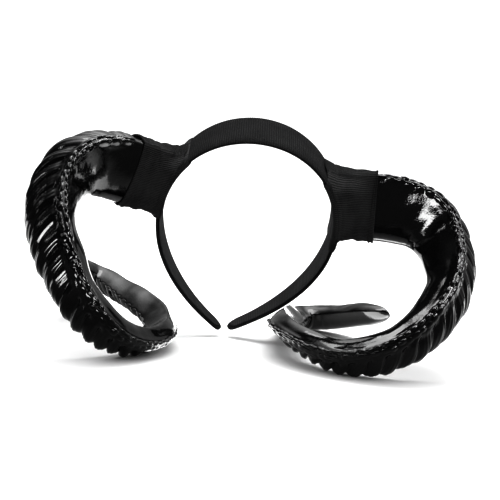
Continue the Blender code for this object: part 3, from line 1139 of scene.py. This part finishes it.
    def section(self, columns: np.ndarray, curled: bool) -> tuple[np.ndarray, np.ndarray, np.ndarray]:
        """Read the section's outline at some places round it.

        Args:
            columns: The places, as shares of the way round.
            curled: Whether it is the section of the curl and not the body's.

        Returns:
            The points, how much of the ribs each takes, and how much of their slant.
        """
        outline, ribbed, slanted, share = self.form.outline(curled)
        wrap = np.append(share, 1.0)
        across, depth, rib, slant = (
            np.interp(columns, wrap, np.append(values, values[0]))
            for values in (outline[:, 0], outline[:, 1], ribbed, slanted)
        )
        return np.stack([across, depth], axis=-1), rib, slant

    def build(self) -> bpy.types.Object:
        """Build the horn's skin.

        Returns:
            The finished piece.
        """
        form = self.form
        columns = self.columns()
        body, ribbed, slanted = self.section(columns, False)
        curl, _, _ = self.section(columns, True)
        run = np.arange(0.0, form.length, self.spacing)
        run = np.append(run[run < form.length - self.last_gap], form.length)
        place = np.minimum(run[:, None] + slanted[None, :] * form.slant_reach(run)[:, None], form.length)
        girth = self.girth_share * (form.read("width", run) + form.read("depth", run))
        grow = self.relief(run, place, columns, ribbed, girth)
        share = form.curl_share(run)[:, None, None]
        rows = form.surface(body * (1.0 - share) + curl * share, place, grow)
        level = np.zeros((1, len(columns)))
        root = form.surface(body[None, :], level - self.buried, level)
        centre = form.read("point", np.array([-self.buried]))[:, None]
        shoulder = centre + (root - centre) * self.root_shoulder
        rows = np.concatenate([np.repeat(centre, len(columns), axis=1), shoulder, rows])
        rows = self.seat.mirror(self.seat.place(rows))
        along = np.concatenate([[-self.buried - 0.01, -self.buried], run])
        side = self.seat.side.value
        piece = loft_piece(f"horn_{side}_skin", rows, (along, columns * self.grain_girth))
        dress(piece, self.gloss, "horn_black", f"horn_{side}")
        return piece


# The wrap
@dataclass
class Wrap:
    """The ribbed cloth wound round the hoop and drawn over a horn's root."""

    hoop: Hoop
    form: HornForm
    seat: HornSeat
    cloth: bpy.types.Material
    seed: int
    wall: float = 0.0009
    rib_pitch: float = 0.00125
    rib_height: float = 0.00026
    steps_per_rib: int = 5
    foot_half_depth: float = 0.0172
    foot_squareness: float = 3.0
    edge_cover: float = 0.0011
    edge_drop: float = 0.6
    waist: float = 0.0014
    fold_height: float = 0.0008
    tuck_depth: float = 0.0008
    flare: float = 0.0016
    flare_until: float = 0.12
    ring_gap: float = 0.0001
    foot_rings: int = 27
    cover_rings: int = 9
    hem_place: float = 1.9
    hem_width: float = 0.07
    hem_height: float = 0.0004
    tuck_place: float = 0.15
    tuck_sway: float = 0.04
    tuck_width: float = 0.035
    band_outside: float = 0.0016
    band_inside: float = 0.0018
    collar_rows: int = 70
    collar_lift: float = 0.0010
    collar_girth: float = 0.092
    collar_squareness: float = 2.8
    collar_end_fade: float = 0.003

    def foot(self, section: np.ndarray, spread: float) -> np.ndarray:
        """Return the ring where the sleeve meets the hoop, drawn down over the hoop's edges.

        Args:
            section: The outline's points, which give each column its direction.
            spread: How far the ring is let out past the plain foot.

        Returns:
            The ring's points.
        """
        row = self.seat.sleeve
        around = np.arctan2(section[:, 1], section[:, 0])
        power = self.foot_squareness
        reach = (np.abs(np.cos(around)) ** power + np.abs(np.sin(around)) ** power) ** (-1.0 / power)
        run = row.foot - reach * (row.half_height + spread) * np.cos(around)
        back = row.back - reach * self.foot_half_depth * np.sin(around)
        flank = eased((reach * np.abs(np.sin(around)) - 0.55) / 0.35)
        edge = -np.sign(np.sin(around)) * (0.5 * self.hoop.width(run) + self.edge_cover)
        high, low = self.band_outside + self.collar_lift, -self.band_inside * self.edge_drop
        return self.hoop.points(run, back + (edge - back) * flank, high + (low - high) * flank)

    def sleeve_ring(self, section: np.ndarray, along: float) -> np.ndarray:
        """Return a plain ring of the sleeve.

        Args:
            section: The outline's points.
            along: 0 at the hoop, 1 at the horn's root, and up to 2 at the sleeve's open end.

        Returns:
            The ring's points.
        """
        row = self.seat.sleeve
        count = len(section)
        feet = self.foot(section, 0.0)
        if along <= 1.0:
            roots = self.seat.place(self.form.surface(section, np.zeros(count), np.full(count, GAP)))
            flare = self.foot(section, self.flare) - feet
            ring = feet + (roots - feet) * along + flare * max(0.0, 1.0 - along / self.flare_until) ** 2
            middle = ring.mean(axis=0)
            pull = self.waist * math.sin(math.pi * along)
            return ring - unit(ring - middle) * pull
        upper = 0.5 + section[:, 0]
        reach = row.reach_bottom + (row.reach_top - row.reach_bottom) * upper
        grow = np.full(count, GAP + 0.0004 * (along - 1.0))
        return self.seat.place(self.form.surface(section, (along - 1.0) * reach, grow))

    def build_sleeve(self) -> bpy.types.Object:
        """Build the sleeve as a closed shell with a rolled hem.

        Returns:
            The finished piece.
        """
        section, _, _, _ = self.form.outline()
        root = self.form.stations[0]
        closed = np.concatenate([section, section[:1]])
        girth = path_length(closed * np.array([root.width, root.depth]))
        ribs = int(girth[-1] / self.rib_pitch)
        columns = np.linspace(0.0, girth[-1], ribs * self.steps_per_rib + 1)
        outline = np.stack([np.interp(columns, girth, closed[:, axis]) for axis in range(2)], axis=-1)
        foot, cover = np.linspace(0.0, 1.0, self.foot_rings), np.linspace(1.0, 2.0, self.cover_rings)
        alongs = np.concatenate([foot, cover[1:]])
        rings = np.stack([self.sleeve_ring(outline, float(along)) for along in alongs])
        outward = self.outward(rings)
        turn = columns / girth[-1]
        rib = self.rib_height * (np.abs(np.sin(math.pi * ribs * turn)) ** RIB_ROUNDNESS - 1.0)
        hem = np.exp(-((alongs[:, None] - self.hem_place) / self.hem_width) ** 2) * self.hem_height
        shell = self.wall + rib[None, :] + self.folds(alongs, turn) + hem
        outer = rings + outward * shell[..., None]
        inner = rings[::-1] + outward[::-1] * self.ring_gap
        rows = self.seat.mirror(np.concatenate([outer, inner, outer[:1]]))
        piece = loft_piece(f"wrap_{self.seat.side.value}_sleeve", rows, (path_length(rows[:, 0]), columns))
        dress(piece, self.cloth, "wrap_cloth", f"wrap_{self.seat.side.value}")
        return piece

    def outward(self, rings: np.ndarray) -> np.ndarray:
        """Work out the outward directions of some rings.

        Args:
            rings: The rings' points, by ring and by column.

        Returns:
            A direction for each point.
        """
        along = np.gradient(rings, axis=0)
        looped = np.concatenate([rings[:, -2:-1], rings, rings[:, 1:2]], axis=1)
        around = np.gradient(looped, axis=1)[:, 1:-1]
        normal = unit(np.cross(along, around))
        middle = rings.mean(axis=1, keepdims=True)
        sign = np.sign((normal * (rings - middle)).sum(axis=-1).mean())
        return normal * sign

    def folds(self, alongs: np.ndarray, turn: np.ndarray) -> np.ndarray:
        """Return the soft folds that run round the sleeve.

        Args:
            alongs: Each row's place along the sleeve.
            turn: Each column's place round it, from 0 to 1.

        Returns:
            Heights by row and column.
        """
        loop = TURN * turn[None, :]
        drift = 0.16 * np.sin(loop + self.seed) + 0.09 * np.sin(2.0 * loop + 1.7 * self.seed)
        wave = np.sin(TURN * (alongs[:, None] * 1.55 + drift + 0.1 * self.seed))
        fine = np.sin(TURN * (alongs[:, None] * 3.1 - 1.4 * drift))
        window = eased(alongs / 0.3)[:, None] * eased((self.hem_place - alongs) / 0.35)[:, None]
        past = alongs[:, None] - self.tuck_place - self.tuck_sway * np.sin(loop + 1.0)
        tuck = np.exp(-(past / self.tuck_width) ** 2)
        wavy = self.fold_height * window * (wave * (0.6 + 0.4 * np.sin(3.0 * loop)) + 0.35 * fine)
        return wavy - self.tuck_depth * tuck

    def build_collar(self) -> bpy.types.Object:
        """Build the part of the wrap that is wound round the hoop, as a closed shell.

        Returns:
            The finished piece.
        """
        row = self.seat.sleeve
        sign = 1.0 if self.seat.side is Side.RIGHT else -1.0
        runs = np.linspace(row.start, row.end, self.collar_rows)
        girth = self.collar_girth
        ribs = int(girth / self.rib_pitch)
        turn = np.linspace(0.0, TURN, ribs * self.steps_per_rib + 1)
        across, through = strip_outline(turn, self.collar_squareness)
        rib = 0.5 * self.rib_height * (np.abs(np.sin(0.5 * ribs * turn)) ** RIB_ROUNDNESS - 1.0)
        mid = 0.5 * (self.band_outside - self.band_inside)
        rise = 0.5 * (self.band_outside + self.band_inside)
        half = 0.5 * self.hoop.width(runs)[:, None]
        fade = self.collar_end_fade
        ends = eased((runs - row.start) / fade) * eased((row.end - runs) / fade)
        outer, inner = (
            self.hoop.points(
                sign * runs[:, None], (half + grow) * across[None, :], mid + (rise + grow) * through[None, :]
            )
            for grow in (
                self.collar_lift * (0.45 + 0.55 * ends)[:, None] + rib[None, :],
                self.ring_gap * (0.45 + 0.55 * ends)[:, None],
            )
        )
        shell = np.concatenate([outer, inner[::-1], outer[:1]])
        length = np.concatenate([runs, runs[::-1], runs[:1]])
        piece = loft_piece(f"wrap_{self.seat.side.value}_collar", shell, (length, turn / TURN * girth))
        dress(piece, self.cloth, "wrap_cloth", f"wrap_{self.seat.side.value}")
        return piece


# Studio
class LampKind(Enum):
    """How a light stands: a softbox faces the headband, and a panel lies on the floor and faces up."""

    SOFTBOX = "softbox"
    PANEL = "panel"


class Lamp(NamedTuple):
    """A rectangular light, its power in watts, and whether matte surfaces take its light too."""

    name: str
    kind: LampKind
    place: Triple
    size: tuple[float, float]
    power: float
    on_matte: bool = False


class Ramp(NamedTuple):
    """A smooth step of brightness between two places."""

    start: float
    end: float
    low: float
    high: float


@dataclass
class Studio:
    """Pale floor, soft lights, a bright surround that is dark behind the viewer, and the camera."""

    scale: float = 0.00074
    yaw: float = -0.082935
    pitch: float = 0.506145
    roll: float = 0.250065
    distance: float = 0.740
    origin_x: float = 236.40
    origin_y: float = 260.68
    sensor: float = 36.0
    floor_size: float = 60.0
    target: Triple = (0.0, 0.0, 0.08)
    viewer_side: Triple = (0.0, -0.97, 0.24)
    viewer_ramp: Ramp = Ramp(0.35, 0.8, 1.0, 0.015)
    top_ramp: Ramp = Ramp(0.45, 0.92, 0.6, 4.2)
    left_ramp: Ramp = Ramp(-0.72, -0.26, 0.05, 1.0)
    fill_ramp: Ramp = Ramp(0.0, 1.0, 0.3, 2.3)
    backdrop: float = 1.3
    gamma: float = 0.7
    lamps: tuple[Lamp, ...] = (
        Lamp("key_light", LampKind.SOFTBOX, (0.75, -0.55, 0.85), (0.35, 0.35), 11.0),
        Lamp("side_light", LampKind.SOFTBOX, (-0.95, -0.35, 0.55), (0.04, 0.4), 0.7),
        Lamp("top_light", LampKind.SOFTBOX, (0.0, 0.25, 1.1), (1.0, 0.5), 8.0, True),
        Lamp("front_reflector", LampKind.PANEL, (-0.115, -0.40, 0.003), (0.17, 0.34), 3.6),
        Lamp("left_reflector", LampKind.PANEL, (-0.03, -0.01, 0.003), (0.08, 0.09), 0.07),
        Lamp("right_reflector", LampKind.PANEL, (0.096, 0.035, 0.003), (0.06, 0.022), 0.03),
    )

    def view_axes(self) -> np.ndarray:
        """Work out how the camera is turned towards the worn headband.

        Returns:
            The image's right, the image's up and the way back to the camera.
        """
        sin_y, cos_y = math.sin(self.yaw), math.cos(self.yaw)
        sin_p, cos_p = math.sin(self.pitch), math.cos(self.pitch)
        right = np.array([cos_y, sin_y, 0.0])
        upright = np.array([-sin_y * sin_p, cos_y * sin_p, cos_p])
        back = np.array([sin_y * cos_p, -cos_y * cos_p, sin_p])
        turned = right * math.cos(self.roll) + upright * math.sin(self.roll)
        risen = upright * math.cos(self.roll) - right * math.sin(self.roll)
        return np.stack([turned, risen, back])

    def build_camera(self) -> None:
        """Set the camera at the photograph's angle to the headband."""
        axes = self.view_axes()
        matrix = Matrix(axes.T.tolist()).to_4x4()
        matrix.translation = Vector(axes[2] * self.distance)
        data = bpy.data.cameras.new("camera")
        data.sensor_fit = "HORIZONTAL"
        data.sensor_width = self.sensor
        data.lens = self.sensor * self.distance / self.scale / IMAGE_SIDE
        data.shift_x = (0.5 * IMAGE_SIDE - self.origin_x) / IMAGE_SIDE
        data.shift_y = (self.origin_y - 0.5 * IMAGE_SIDE) / IMAGE_SIDE
        data.clip_start, data.clip_end = 0.01, 50.0
        camera = bpy.data.objects.new("camera", data)
        bpy.context.scene.collection.objects.link(camera)
        camera.matrix_world = REST.matrix() @ matrix
        bpy.context.scene.camera = camera

    def build_floor(self) -> None:
        """Lay the floor."""
        deselect_all()
        bpy.ops.mesh.primitive_plane_add(size=self.floor_size, location=(0.0, 0.0, 0.0))
        floor = bpy.context.object
        floor.name = "studio_floor"
        floor.data.materials.append(StudioFloor().build())
        deselect_all()

    def add_lamp(self, lamp: Lamp) -> None:
        """Add a rectangular light that the camera doesn't show.

        Args:
            lamp: What it is like and where it stands.
        """
        data = bpy.data.lights.new(lamp.name, "AREA")
        data.shape = "RECTANGLE"
        data.size, data.size_y = lamp.size
        data.energy = lamp.power
        light = bpy.data.objects.new(lamp.name, data)
        bpy.context.scene.collection.objects.link(light)
        light.location = lamp.place
        light.visible_camera = False
        light.visible_diffuse = lamp.on_matte
        if lamp.kind is LampKind.PANEL:
            light.rotation_euler = (math.pi, 0.0, 0.0)
        else:
            aim = Vector(self.target) - Vector(lamp.place)
            light.rotation_mode = "QUATERNION"
            light.rotation_quaternion = aim.to_track_quat("-Z", "Y")

    def build_world(self) -> None:
        """Make the surround bright, apart from the side that the viewer stands on."""
        world = bpy.data.worlds.new("studio_surround")
        bpy.context.scene.world = world
        graph = Graph(world, "Background")
        place = graph.place("Generated")
        inputs = {0: place, 1: self.viewer_side}
        facing = graph.node("VectorMath", inputs, "Value", operation="DOT_PRODUCT")
        across, up = graph.axis(place, "X"), graph.axis(place, "Z")
        sources = (facing, up, across, up)
        ramps = (self.viewer_ramp, self.top_ramp, self.left_ramp, self.fill_ramp)
        viewer, top, left, fill = (
            graph.remap(source, ramp.low, ramp.high, ramp.start, ramp.end, "SMOOTHSTEP")
            for source, ramp in zip(sources, ramps)
        )
        mirrored = graph.math("MULTIPLY", graph.math("MULTIPLY", viewer, top), left)
        strength = fill
        for name, value in (("Is Glossy Ray", mirrored), ("Is Camera Ray", self.backdrop)):
            inputs = {"Factor": graph.ray(name), "A": strength, "B": value}
            strength = graph.node("Mix", inputs, "Result", data_type="FLOAT")
        graph.finish(color=(1.0, 1.0, 1.0, 1.0), strength=strength)

    def build(self) -> None:
        """Build the floor, the surround, the lights and the camera."""
        self.build_floor()
        self.build_world()
        for lamp in self.lamps:
            self.add_lamp(lamp)
        self.build_camera()
        view = bpy.context.scene.view_settings
        view.view_transform = "Standard"
        view.look = "None"
        view.gamma = self.gamma


SLEEVES = {
    Side.LEFT: SleeveRow(0.058, 0.110, 0.0865, 0.0260, 0.000, 0.012, 0.006),
    Side.RIGHT: SleeveRow(0.050, 0.107, 0.0760, 0.0280, 0.003, 0.001, 0.006),
}


def main() -> None:
    """Build the headband, its wraps, both horns and the studio."""
    logging.basicConfig(level=logging.INFO, format="%(message)s")
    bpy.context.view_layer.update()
    gloss = HornGloss().build()
    hoop = Hoop()
    form = HornForm()
    # The band, lining and wrap cloths all carry painted shade in their rib valleys, over random mottling.
    band_cloth = RibbedCloth().build()
    lining = RibbedCloth(
        "lining_cloth", (0.022, 0.022, 0.0225), (0.050, 0.050, 0.051), thread=0.0007, sheen=0.03
    ).build()
    wrap_cloth = RibbedCloth(
        "wrap_cloth", (0.0045, 0.0045, 0.0047), (0.058, 0.058, 0.0585), thread=0.0006, sheen=0.03,
        rib_axis="Y", rib_pitch=Wrap.rib_pitch, shade_range=(0.2, 0.6),
    ).build()
    band = Headband(hoop, band_cloth, lining)
    band.build_band()
    band.build_lining()
    for seed, side in ((1, Side.RIGHT), (2, Side.LEFT)):
        seat = HornSeat(side, SLEEVES[side])
        Horn(form, seat, gloss, seed).build()
        wrap = Wrap(hoop, form, seat, wrap_cloth, seed)
        wrap.build_collar()
        wrap.build_sleeve()
    Studio().build()


if __name__ == "__main__":
    main()
